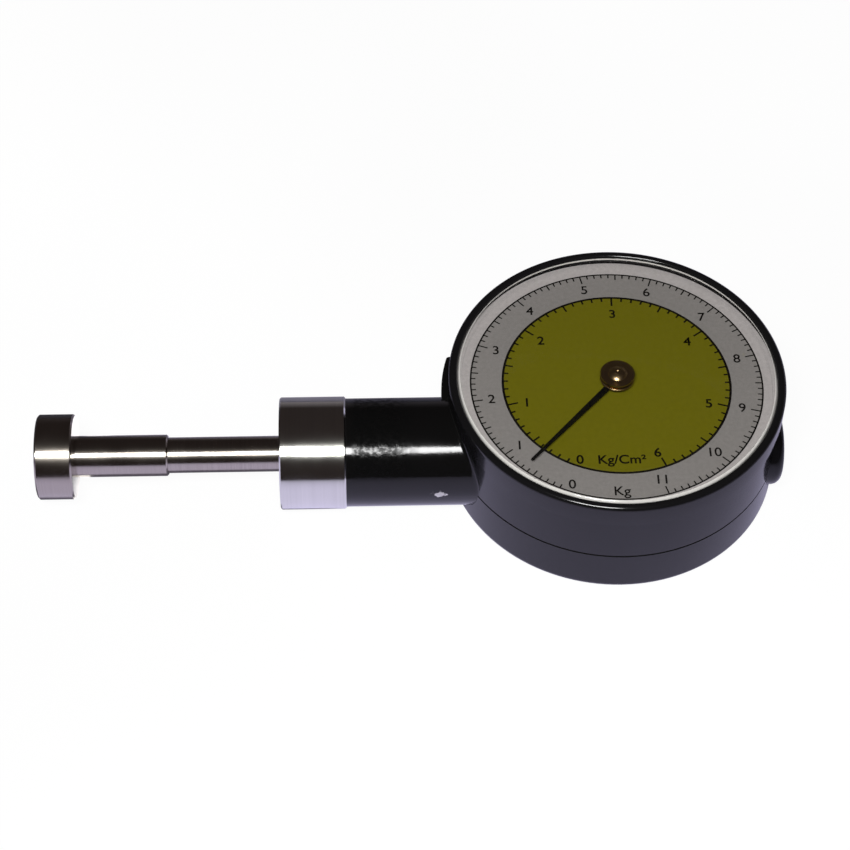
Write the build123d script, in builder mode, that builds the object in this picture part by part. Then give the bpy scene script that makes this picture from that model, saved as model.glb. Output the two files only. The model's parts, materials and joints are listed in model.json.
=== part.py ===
"""Automatic penetrometer with a rack-and-gear dial movement.

Millimetres. The origin is on the drum's axis at its rear rest face. +Z points out of the dial and +X runs
from the plunger to the reset button. The rest pose is a reading of 0.63 kg.
"""
import os
from math import ceil, cos, pi, radians, sin, sqrt, tan

from build123d import *

# Fits
RUN = 0.05              # radial play of a running fit
SEAT = 0.02             # radial play of a seated piece
EASE = 0.1              # play round a screw, a boss or the crystal's wall
END_PLAY = 0.1          # endshake of a turning piece

# Plunger axis
AXIS_Y = -6.2
NECK_R = 9.55
NECK_RAISE = 0.45       # of the neck above the rest face
AXIS_Z = NECK_R + NECK_RAISE

# Travel of the plunger from the rest pose
TRAVEL_OUT = 0.565      # back to zero
TRAVEL_IN = 9.28        # on to full scale

# Drum
DRUM_R = 29.3
WALL = 2.0
SEAM_DROP = 0.7         # from the plunger axis to the joint between the rear cover and the case body
SEAM_CHAMFER = 0.2
NECK_OVERLAP = 0.95     # of the neck above the ledge that carries the bezel
LEDGE = 0.7             # width of that ledge
SPIGOT_RISE = 1.45      # from the ledge to the dial's seat
FLOOR = 1.6
REAR_ROUND = 1.4
SEAM_Z = AXIS_Z - SEAM_DROP
STEP_Z = AXIS_Z + NECK_R - NECK_OVERLAP
BORE_R = DRUM_R - WALL
SPIGOT_R = DRUM_R - LEDGE
DIAL_SEAT_Z = STEP_Z + SPIGOT_RISE

# Neck, in one piece with the case body
NECK_LENGTH = 18.3
NECK_ROOT = 0.9
SOCKET_DEPTH = 6.2      # takes the collar's spigot
SOCKET_WALL = 1.15
SPRING_WALL = 1.95      # round the load spring's bore
SHOULDER_WALL = 1.4     # between the load spring's bore and the drum's
LUG_PROUD = 1.4         # small moulded lug beside the neck's root
LUG_FROM = 163.5
LUG_SPAN = 20.5
LUG_HEIGHT = 6.3
LUG_DROP = 0.3          # below the ledge
LUG_ROUND = 0.6
NECK_X = -DRUM_R - NECK_LENGTH
SPRING_BORE_R = NECK_R - SPRING_WALL
SHOULDER_X = -BORE_R - SHOULDER_WALL
LUG_R = DRUM_R + LUG_PROUD
LUG_LOW = STEP_Z - LUG_DROP - LUG_HEIGHT

# Bosses and posts that hold case and movement together
BOSS_INSET = 2.5        # from the bore to a boss's middle
BOSS_R = 2.8
BOSS_COUNT = 4
BOSS_ANGLE = 45.0
COVER_SCREW_R = 1.2
COVER_HEAD_R = 2.1
COVER_HEAD_H = 1.4
COVER_SEAT_Z = 2.0
COVER_SCREW_LENGTH = 9.5
COVER_LIP = 1.1         # thickness of the rear cover's locating lip
LIP_RISE = 1.0
LIP_ROOT = 1.3
LIP_BREAK = 0.65        # room beside the neck where the lip stops
BOSS_RING = BORE_R - BOSS_INSET
LIP_RING_R = BORE_R - COVER_LIP
LIP_HALF_GAP = NECK_R + LIP_BREAK

# Bezel, crystal and dial
BEZEL_PROUD = 0.2       # of the drum's wall
BEZEL_EDGE = 0.85
BEZEL_LIP = 0.65        # reach of the bezel over the crystal's flange
BEZEL_LIP_T = 1.15
LIP_EDGE = 0.6
CRYSTAL_WALL = 0.65
CRYSTAL_FLANGE_H = 1.23
CRYSTAL_RIM = 1.0       # from the flange to the dome's rim
CRYSTAL_ROUND = 0.5
DOME_RISE = 2.25
DOME_T = 1.2
DIAL_INSET = 0.2
DIAL_T = 0.62
DIAL_HOLE_R = 1.6
BEZEL_R = DRUM_R + BEZEL_PROUD
LIP_R = SPIGOT_R - BEZEL_LIP
CRYSTAL_FLANGE_R = SPIGOT_R - RUN
CRYSTAL_R = LIP_R - EASE
CRYSTAL_INNER_R = CRYSTAL_R - CRYSTAL_WALL
DIAL_R = SPIGOT_R - DIAL_INSET
DIAL_TOP = DIAL_SEAT_Z + DIAL_T
LIP_Z = DIAL_TOP + CRYSTAL_FLANGE_H
BEZEL_TOP = LIP_Z + BEZEL_LIP_T
CRYSTAL_RIM_Z = LIP_Z + CRYSTAL_RIM
DOME_TOP = CRYSTAL_RIM_Z + DOME_RISE
DOME_INNER = DOME_TOP - DOME_T

# Movement plates
PLATE_RISE = 1.3        # from the cover's floor to the rear plate
REAR_PLATE_T = 1.0
REAR_PLATE_INSET = 1.0  # from the cover's posts
FRONT_PLATE_RISE = 5.6  # from the plunger axis
FRONT_PLATE_T = 1.2
FRONT_PLATE_INSET = 1.5
EAR_R = 2.3
PILLAR_R = 1.8
PILLAR_INSET = 3.0      # from the rear plate's rim to a pillar's middle
PILLAR_ANGLES = (60.0, 150.0, 285.0)
PLATE_SCREW_R = 0.9
PLATE_SCREW_LENGTH = 3.9
PLATE_HEAD_R = 1.7
PLATE_HEAD_H = 0.9
PILOT_EXTRA = 0.3       # hole depth beyond a screw's tip
SLOT_SHARE = 0.35       # slot width and depth as a share of head radius and height
BUSH_R = 2.0
BUSH_FLANGE_R = 2.6
BUSH_FLANGE_T = 0.3
PLATE_LOW = FLOOR + PLATE_RISE
REAR_PLATE_TOP = PLATE_LOW + REAR_PLATE_T
REAR_PLATE_R = BOSS_RING - BOSS_R - REAR_PLATE_INSET
FRONT_PLATE_LOW = AXIS_Z + FRONT_PLATE_RISE
FRONT_PLATE_TOP = FRONT_PLATE_LOW + FRONT_PLATE_T
FRONT_PLATE_R = BOSS_RING - BOSS_R - FRONT_PLATE_INSET
PILLAR_RING = REAR_PLATE_R - PILLAR_INSET

# Gears with stub teeth
MODULE = 0.4
ADDENDUM = 0.28
DEDENDUM = 0.5
TOOTH_SHARE = 0.40      # tooth thickness over pitch
PRESSURE_ANGLE = 20.0
IDLER_PINION_TEETH = 22
IDLER_GEAR_TEETH = 30
CENTRE_PINION_TEETH = 12
PINION_HALF = 1.6       # half the idler pinion's width, about the plunger axis
GEAR_RISE = 2.5         # from the plunger axis
GEAR_WIDTH = 1.4
PINION_OVERLAP = 0.3    # of the centre pinion past each side of the gear
PITCH = pi * MODULE
FLANK = tan(radians(PRESSURE_ANGLE))
IDLER_X = -MODULE * (IDLER_GEAR_TEETH + CENTRE_PINION_TEETH) / 2
IDLER_PINION_Z = (AXIS_Z - PINION_HALF, AXIS_Z + PINION_HALF)
IDLER_GEAR_Z = (AXIS_Z + GEAR_RISE, AXIS_Z + GEAR_RISE + GEAR_WIDTH)
CENTRE_PINION_Z = (IDLER_GEAR_Z[0] - PINION_OVERLAP, IDLER_GEAR_Z[1] + PINION_OVERLAP)

# Rack and its guides
ROD_END_INSET = 0.3     # from the drum's bore to the rod's end, where the rack's nose meets it
NOSE_LENGTH = 2.4       # the narrow nose lies inside the rod's bore
NOSE_DEPTH = 2.0        # behind the plunger axis
NOSE_HALF = 1.6
RACK_END_ROOM = 2.02    # from the rack at full travel to the brake slide
RACK_WEB = 4.1          # behind the teeth
RACK_HALF = 2.0         # half the rack's height
RACK_TEETH_SPARE = 2    # teeth past those that the travel uses, at each end
BRACKET_OFFSETS = (-8.9, 6.9)   # from the idler to the start of each bracket
BRACKET_WIDTH = 4.0
BRACKET_WALL = 3.3
BRACKET_LIP = 0.85
BRACKET_REACH = 0.4     # of a lower lip past the pitch line, and of an upper lip short of it
GUIDE_SCREW_R = 0.8
GUIDE_SCREW_LENGTH = 4.2
GUIDE_HEAD_R = 1.5
RACK_FRONT = ROD_END_INSET - BORE_R
NOSE_END = RACK_FRONT + NOSE_LENGTH
RACK_PITCH_Y = -MODULE * IDLER_PINION_TEETH / 2
RACK_ROOT_Y = RACK_PITCH_Y - DEDENDUM
RACK_BACK_Y = RACK_ROOT_Y - RACK_WEB
RACK_LOW = AXIS_Z - RACK_HALF
RACK_HIGH = AXIS_Z + RACK_HALF
RACK_TEETH_AHEAD = ceil(TRAVEL_OUT / PITCH + RACK_TEETH_SPARE)
RACK_TEETH_BEHIND = ceil(TRAVEL_IN / PITCH + RACK_TEETH_SPARE)
BRACKET_STARTS = [IDLER_X + offset for offset in BRACKET_OFFSETS]
BRACKET_BACK = RACK_BACK_Y - 2 * RUN

# Pointer
POINTER_RISE = 1.03     # above the dial
POINTER_T = 0.25
POINTER_INSET = 3.4     # from the crystal's wall to the pointer's tip
POINTER_ROOT_WIDTH = 1.2
POINTER_TIP_WIDTH = 0.45
POINTER_EYE_R = 2.9
POINTER_ANGLE = -131.8
HUB_SLEEVE_R = 1.9
HUB_SLEEVE_DROP = 0.4   # below the pointer
HUB_R = 3.0
HUB_FOOT_T = 0.3        # on the pointer
HUB_FOOT_EDGE = 0.2
HUB_WAIST_R = 2.1
HUB_WAIST_H = 0.75
HUB_SIDE = 0.25
HUB_BOSS_R = 1.7        # round boss on the hub's disc
HUB_CROWN = 0.6
HUB_MARK_R = 0.3        # turning centre in the boss
HUB_MARK_DEPTH = 0.2
POINTER_LOW = DIAL_TOP + POINTER_RISE
POINTER_TOP = POINTER_LOW + POINTER_T
POINTER_REACH = CRYSTAL_INNER_R - POINTER_INSET
HUB_LOW = POINTER_LOW - HUB_SLEEVE_DROP
HUB_FOOT_Z = POINTER_TOP + HUB_FOOT_T
HUB_FOOT_SIDE_Z = HUB_FOOT_Z - HUB_FOOT_EDGE
HUB_FOOT_R = HUB_R - HUB_FOOT_EDGE
HUB_CAP_Z = HUB_FOOT_Z + HUB_WAIST_H
HUB_SHOULDER_Z = HUB_CAP_Z + HUB_SIDE
HUB_TOP = HUB_SHOULDER_Z + HUB_CROWN

# Arbors
ARBOR_R = 1.3
IDLER_PIVOT_R = 0.9
CENTRE_PIVOT_R = 1.0
PIVOT_OUT = 0.5         # below the rear plate
PIVOT_SINK = 0.2        # of the idler's front pivot in its plate
ARBOR_SINK = 0.7        # of the centre arbor's end below the hub's crown
PIVOT_LOW = PLATE_LOW - PIVOT_OUT
IDLER_PIVOT_HIGH = FRONT_PLATE_TOP - PIVOT_SINK
CENTRE_ARBOR_TOP = HUB_TOP - ARBOR_SINK
ARBOR_LOW = REAR_PLATE_TOP + BUSH_FLANGE_T + END_PLAY / 2
ARBOR_HIGH = FRONT_PLATE_LOW - BUSH_FLANGE_T - END_PLAY / 2

# Hairspring
COLLET_R = 2.2
COLLET_RISE = 0.4       # above the rear plate
COLLET_H = 0.8
STRIP_T = 0.25
STRIP_WIDTH = 0.6
STRIP_GAP = 0.075       # from the collet
STRIP_STEP = 0.6        # growth in radius each half turn
STRIP_HALF_TURNS = 7
STUD_LENGTH = 1.8
STUD_WIDTH = 1.8
STUD_H = 1.4
COLLET_LOW = REAR_PLATE_TOP + COLLET_RISE
COLLET_HIGH = COLLET_LOW + COLLET_H
STRIP_LOW = (COLLET_LOW + COLLET_HIGH - STRIP_WIDTH) / 2
STRIP_INNER_R = COLLET_R + STRIP_GAP + STRIP_T / 2
STRIP_OUTER_R = STRIP_INNER_R + STRIP_STEP * (STRIP_HALF_TURNS - 1)

# Brake
DRUM_RISE = 0.4         # above the collet
DRUM_H = 1.3
BRAKE_DRUM_R = 5.0
BRAKE_GAP = 0.6         # from the drum to the slide
BAR_WIDTH = 2.0
ARM_WIDTH = 1.6
ARM_END_Y = -2.0
PAD_Y = -4.6
TAB_T = 1.2
TAB_HALF = 2.0
DRUM_LOW = COLLET_HIGH + DRUM_RISE
DRUM_HIGH = DRUM_LOW + DRUM_H
BAR_BACK_Y = -BRAKE_DRUM_R - BRAKE_GAP
BAR_FRONT_Y = BAR_BACK_Y - BAR_WIDTH
PAD_X = -BRAKE_DRUM_R - BRAKE_GAP
ARM_X = PAD_X - ARM_WIDTH

# Chrome collar
COLLAR_LENGTH = 11.55
COLLAR_WALL = 2.95      # front wall, against which the spring's flange stops
COLLAR_PROUD = 0.35     # of the neck
COLLAR_EDGE = 0.25
SPIGOT_WALL = 1.6
SPIGOT_END_PLAY = 0.2
BUSH_WALL = 1.4
COLLAR_X = NECK_X - COLLAR_LENGTH
COLLAR_R = NECK_R + COLLAR_PROUD
STOP_X = COLLAR_X + COLLAR_WALL
SPIGOT_COLLAR_R = NECK_R - SOCKET_WALL - RUN
CHAMBER_R = SPIGOT_COLLAR_R - SPIGOT_WALL

# Plunger
TIP_R = 7.5
TIP_LENGTH = 6.45
TIP_EDGE = 0.3
SHANK_LENGTH = 16.34
SHANK_STEP = 0.5        # of the shank past the rod
SHANK_EDGE = 0.25
ROD_R = 3.15
ROD_SHOWN = 19.71       # between the collar and the shank
GROOVE_DEPTH = 0.35
STUD_STEP = 1.15        # of the rod past its stud
ROD_STUD_LENGTH = 8.84
TIP_SOCKET_EXTRA = 0.3
SHANK_R = ROD_R + SHANK_STEP
STUD_R = ROD_R - STUD_STEP
SHANK_END = COLLAR_X - ROD_SHOWN
STUD_X = SHANK_END - ROD_STUD_LENGTH
TIP_BACK = SHANK_END - SHANK_LENGTH
TIP_X = TIP_BACK - TIP_LENGTH
GUIDE_BUSH_R = ROD_R + RUN + BUSH_WALL

# Load spring and its holders
STOP_PLAY = 0.02
FLANGE_PLAY = 0.35      # in the collar's chamber
FLANGE_T = 1.5
CLIP_WIDTH = 1.25       # past the rod
CLIP_T = 0.6
CLIP_GAP = 2.4
LOAD_WIRE = 1.6
LOAD_PLAY = 0.45        # of the coil in the collar's chamber
LOAD_TURNS = 6
SEAT_RING_T = 2.5
SEAT_RING_GAP = 0.35
FLANGE_R = CHAMBER_R - FLANGE_PLAY
FLANGE_X = STOP_X + TRAVEL_OUT + STOP_PLAY
CLIP_R = ROD_R + CLIP_WIDTH
LOAD_COIL_R = CHAMBER_R - LOAD_PLAY - LOAD_WIRE / 2
SPRING_FRONT = FLANGE_X + FLANGE_T
SPRING_REAR = SHOULDER_X - SEAT_RING_T

# Reset button
BUTTON_R = 6.75
BUTTON_PLAY = 0.08
BUTTON_PROUD = 0.6      # of the drum's wall beside the plunger axis
BUTTON_ROUND = 1.8
BUTTON_SKIN = 1.4
BUTTON_FLANGE = 0.75
BUTTON_FLANGE_T = 1.0
BUTTON_BACK_PLAY = 0.2
BUTTON_BOSS_WALL = 1.8
STEM_R = 1.6
STEM_SPIGOT_R = 1.0
RETURN_WIRE = 0.5
RETURN_PLAY = 0.75      # of the coil round the stem
RETURN_TURNS = 5
GUIDE_INSET = 6.5       # from the rear plate's rim to the stem's guide
GUIDE_GAP = 1.5         # from the stem's shoulder to that guide
GUIDE_T = 2.0
GUIDE_HALF = 2.5
BUTTON_HOLE_R = BUTTON_R + BUTTON_PLAY
BUTTON_FACE = sqrt(DRUM_R ** 2 - AXIS_Y ** 2) + BUTTON_PROUD
BUTTON_FLANGE_R = BUTTON_R + BUTTON_FLANGE
BUTTON_CORNER_Y = AXIS_Y - BUTTON_FLANGE_R
BUTTON_FLANGE_X = sqrt(BORE_R ** 2 - BUTTON_CORNER_Y ** 2) - BUTTON_BACK_PLAY
BUTTON_REAR = BUTTON_FLANGE_X - BUTTON_FLANGE_T
BUTTON_BOSS_R = STEM_R + BUTTON_BOSS_WALL
STEM_TOP = BUTTON_FACE - BUTTON_SKIN
RETURN_COIL_R = STEM_R + RETURN_PLAY + RETURN_WIRE / 2
GUIDE_X = REAR_PLATE_R - GUIDE_INSET
STEM_END = GUIDE_X - GUIDE_GAP
TAB_X = STEM_END - TAB_T
RACK_END = TAB_X - RACK_END_ROOM - TRAVEL_IN

POINTS_PER_TURN = 24    # points on a coil when its gap is measured

PLUNGER_AXIS = Axis((0, AXIS_Y, AXIS_Z), (1, 0, 0))
PLUNGER_PLANE = Plane(origin=(0, AXIS_Y, AXIS_Z), x_dir=(1, 0, 0), z_dir=(0, -1, 0))


def finish(block, name):
    """Label a finished piece and write it to its own file."""
    block.part.label = name
    export_step(block.part, f"parts/{name}.step")


def across(x):
    """Plane square to the plunger axis at x, facing +X."""
    return Plane(origin=(x, AXIS_Y, AXIS_Z), x_dir=(0, 1, 0), z_dir=(1, 0, 0))


def on_ring(radius, angles):
    """Points on a circle about the drum's axis."""
    return [(radius * cos(radians(a)), radius * sin(radians(a))) for a in angles]


def slab(low, high, mode=Mode.ADD):
    """A block between two opposite corners."""
    middle = tuple((a + b) / 2 for a, b in zip(low, high))
    with Locations(middle):
        Box(*(b - a for a, b in zip(low, high)), mode=mode)


def turned(name, points, plane=Plane.XZ, axis=Axis.Z):
    """A plain turned piece, from its half outline."""
    with BuildPart() as piece:
        with BuildSketch(plane):
            with BuildLine():
                Polyline(*points, close=True)
            make_face()
        revolve(axis=axis)
    finish(piece, name)


def turned_on_plunger(name, points):
    """A turned piece on the plunger axis, its outline given as x and radius."""
    turned(name, points, PLUNGER_PLANE, PLUNGER_AXIS)


def screw_set(places, seat, length, shank_r, head_r, head_h):
    """Slotted screws; a positive length goes up from the seat, a negative one down."""
    rise = 1 if length > 0 else -1
    with BuildPart() as screws:
        with BuildSketch(Plane.XY.offset(seat)):
            with Locations(*places):
                Circle(shank_r)
        extrude(amount=length)
        with BuildSketch(Plane.XY.offset(seat)):
            with Locations(*places):
                Circle(head_r)
        extrude(amount=-rise * head_h)
        with BuildSketch(Plane.XY.offset(seat - rise * head_h)):
            with Locations(*places):
                Rectangle(2 * head_r, SLOT_SHARE * head_r)
        extrude(amount=rise * SLOT_SHARE * head_h, mode=Mode.SUBTRACT)
    return screws


BOSS_PLACES = on_ring(BOSS_RING, [BOSS_ANGLE + i * 360 / BOSS_COUNT for i in range(BOSS_COUNT)])
PILLAR_PLACES = on_ring(PILLAR_RING, PILLAR_ANGLES)
ARBOR_PLACES = [(0, 0), (IDLER_X, 0)]
GUIDE_PLACES = [(x + BRACKET_WIDTH / 2, BRACKET_BACK - BRACKET_WALL / 2) for x in BRACKET_STARTS]
GUIDE_PLACES.append((GUIDE_X + GUIDE_T / 2, AXIS_Y))


def make_case_body():
    """Drum wall, dial spigot, neck, lug and the inner bosses."""
    with BuildPart() as case_body:
        # Wall and upper neck between the seam and the ledge, with the root rounded
        with BuildSketch(Plane.XY.offset(SEAM_Z)):
            Circle(DRUM_R)
        extrude(amount=STEP_Z - SEAM_Z)
        with BuildSketch(across(NECK_X)):
            Circle(NECK_R)
            with Locations((0, SEAM_Z - AXIS_Z)):
                Rectangle(2 * DRUM_R, STEP_Z - SEAM_Z, align=(Align.CENTER, Align.MIN), mode=Mode.INTERSECT)
        extrude(amount=-NECK_X - BORE_R / 2)
        fillet(case_body.edges().filter_by(GeomType.BSPLINE), NECK_ROOT)
        with BuildSketch(Plane.XZ):
            with BuildLine():
                Polyline((DRUM_R - SEAM_CHAMFER, SEAM_Z), (DRUM_R + 2 * NECK_ROOT, SEAM_Z),
                         (DRUM_R + 2 * NECK_ROOT, SEAM_Z + SEAM_CHAMFER), (DRUM_R, SEAM_Z + SEAM_CHAMFER),
                         close=True)
            make_face()
        revolve(axis=Axis.Z, mode=Mode.SUBTRACT)

        # Lug, dial spigot and the whole neck
        with BuildSketch(Plane.XY.offset(LUG_LOW)) as lug:
            with BuildLine():
                rim = CenterArc((0, 0), LUG_R, LUG_FROM, LUG_SPAN)
                Polyline(rim @ 1, (0, 0), rim @ 0)
            make_face()
            fillet(lug.vertices().sort_by(Axis.Y)[-1], LUG_ROUND)
        extrude(amount=LUG_HEIGHT)
        with BuildSketch(Plane.XY.offset(STEP_Z)):
            Circle(SPIGOT_R)
        extrude(amount=DIAL_SEAT_Z - STEP_Z)
        with BuildSketch(across(NECK_X)):
            Circle(NECK_R)
        extrude(amount=-NECK_X - BORE_R / 2)

        # Room for the movement, the bezel and the rear cover's floor
        with BuildSketch():
            Circle(BORE_R)
        extrude(amount=DIAL_SEAT_Z, mode=Mode.SUBTRACT)
        with BuildSketch(Plane.XY.offset(STEP_Z)):
            Circle(BEZEL_R + RUN)
            Circle(SPIGOT_R, mode=Mode.SUBTRACT)
        extrude(amount=BEZEL_TOP - STEP_Z, mode=Mode.SUBTRACT)
        with BuildSketch():
            Circle(DRUM_R + RUN)
        extrude(amount=FLOOR, mode=Mode.SUBTRACT)

        # Collar socket, spring bore, rod guide and button hole
        with BuildSketch(across(NECK_X)):
            Circle(SPIGOT_COLLAR_R + RUN)
        extrude(amount=SOCKET_DEPTH, mode=Mode.SUBTRACT)
        with BuildSketch(across(NECK_X)):
            Circle(SPRING_BORE_R)
        extrude(amount=SHOULDER_X - NECK_X, mode=Mode.SUBTRACT)
        with BuildSketch(across(NECK_X)):
            Circle(ROD_R + RUN)
        extrude(amount=-NECK_X, mode=Mode.SUBTRACT)
        with BuildSketch(across(0)):
            Circle(BUTTON_HOLE_R)
        extrude(amount=2 * DRUM_R, mode=Mode.SUBTRACT)

        # Bosses with a pilot hole from each end
        with BuildSketch(Plane.XY.offset(SEAM_Z)):
            with Locations(*BOSS_PLACES):
                Circle(BOSS_R)
        extrude(amount=FRONT_PLATE_LOW - SEAM_Z)
        with BuildSketch(Plane.XY.offset(SEAM_Z)):
            with Locations(*BOSS_PLACES):
                Circle(COVER_SCREW_R + SEAT)
        extrude(amount=COVER_SEAT_Z + COVER_SCREW_LENGTH + PILOT_EXTRA - SEAM_Z, mode=Mode.SUBTRACT)
        with BuildSketch(Plane.XY.offset(FRONT_PLATE_LOW)):
            with Locations(*BOSS_PLACES):
                Circle(PLATE_SCREW_R + SEAT)
        extrude(amount=FRONT_PLATE_T - PLATE_SCREW_LENGTH - PILOT_EXTRA, mode=Mode.SUBTRACT)
    finish(case_body, "case_body")


def make_rear_cover():
    """Cup behind the seam, with screw posts, a locating lip and a notch for the neck."""
    with BuildPart() as rear_cover:
        with BuildSketch(Plane.XZ) as cup:
            with BuildLine():
                Polyline((0, 0), (DRUM_R, 0), (DRUM_R, SEAM_Z - SEAM_CHAMFER),
                         (DRUM_R - SEAM_CHAMFER, SEAM_Z), (BORE_R, SEAM_Z), (BORE_R, FLOOR), (0, FLOOR),
                         close=True)
            make_face()
            fillet(cup.vertices().group_by(Axis.X)[-1].sort_by(Axis.Y)[0], REAR_ROUND)
        revolve(axis=Axis.Z)
        for low, rise, outer in ((SEAM_Z - LIP_ROOT, LIP_ROOT, BORE_R + WALL / 2),
                                 (SEAM_Z, LIP_RISE, BORE_R - RUN)):
            with BuildSketch(Plane.XY.offset(low)):
                Circle(outer)
                Circle(LIP_RING_R, mode=Mode.SUBTRACT)
                with Locations((0, AXIS_Y)):
                    Rectangle(2 * DRUM_R, 2 * LIP_HALF_GAP, mode=Mode.SUBTRACT)
                with Locations(*BOSS_PLACES):
                    Circle(BOSS_R + EASE, mode=Mode.SUBTRACT)
            extrude(amount=rise)
        with BuildSketch(Plane.XY.offset(FLOOR)):
            with Locations(*BOSS_PLACES):
                Circle(BOSS_R)
        extrude(amount=SEAM_Z - FLOOR)
        with Locations(Plane(origin=(0, 0, 0), z_dir=(0, 0, -1))):
            with Locations(*((x, -y) for x, y in BOSS_PLACES)):
                CounterBoreHole(COVER_SCREW_R + EASE, COVER_HEAD_R + EASE, COVER_SEAT_Z, SEAM_Z)

        # Notch for the neck above the floor, and the button's hole
        with BuildSketch(across(-2 * DRUM_R)):
            Circle(NECK_R + RUN)
            with Locations((0, FLOOR - AXIS_Z)):
                Rectangle(2 * DRUM_R, DRUM_R, align=(Align.CENTER, Align.MAX), mode=Mode.SUBTRACT)
        extrude(amount=2 * DRUM_R, mode=Mode.SUBTRACT)
        with BuildSketch(across(0)):
            Circle(BUTTON_HOLE_R)
        extrude(amount=2 * DRUM_R, mode=Mode.SUBTRACT)
    finish(rear_cover, "rear_cover")
    rear_cover_screws = screw_set(BOSS_PLACES, COVER_SEAT_Z, COVER_SCREW_LENGTH, COVER_SCREW_R, COVER_HEAD_R,
                                  COVER_HEAD_H)
    finish(rear_cover_screws, "rear_cover_screws")


def make_dial_side():
    """Bezel ring, clear crystal and dial plate."""
    with BuildPart() as bezel_ring:
        with BuildSketch(Plane.XZ) as ring:
            with BuildLine():
                Polyline((SPIGOT_R + RUN, STEP_Z), (BEZEL_R, STEP_Z), (BEZEL_R, BEZEL_TOP),
                         (LIP_R, BEZEL_TOP), (LIP_R, LIP_Z), (SPIGOT_R + RUN, LIP_Z), close=True)
            make_face()
            fillet(ring.vertices().group_by(Axis.X)[-1].sort_by(Axis.Y)[-1], BEZEL_EDGE)
            fillet(ring.vertices().group_by(Axis.X)[0].sort_by(Axis.Y)[-1], LIP_EDGE)
        revolve(axis=Axis.Z)
    finish(bezel_ring, "bezel_ring")

    with BuildPart() as crystal:
        with BuildSketch(Plane.XZ) as shell:
            with BuildLine():
                TangentArc((0, DOME_INNER), (CRYSTAL_INNER_R, LIP_Z), tangent=(1, 0))
                Polyline((CRYSTAL_INNER_R, LIP_Z), (CRYSTAL_INNER_R, DIAL_TOP), (CRYSTAL_FLANGE_R, DIAL_TOP),
                         (CRYSTAL_FLANGE_R, LIP_Z), (CRYSTAL_R, LIP_Z), (CRYSTAL_R, CRYSTAL_RIM_Z))
                TangentArc((0, DOME_TOP), (CRYSTAL_R, CRYSTAL_RIM_Z), tangent=(1, 0))
                Line((0, DOME_INNER), (0, DOME_TOP))
            make_face()
            fillet(shell.vertices().group_by(Axis.X)[-2].sort_by(Axis.Y)[-1], CRYSTAL_ROUND)
        revolve(axis=Axis.Z)
    finish(crystal, "crystal")

    with BuildPart() as dial_plate:
        with BuildSketch(Plane.XY.offset(DIAL_SEAT_Z)):
            Circle(DIAL_R)
            Circle(DIAL_HOLE_R, mode=Mode.SUBTRACT)
        extrude(amount=DIAL_T)
    finish(dial_plate, "dial_plate")


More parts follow.
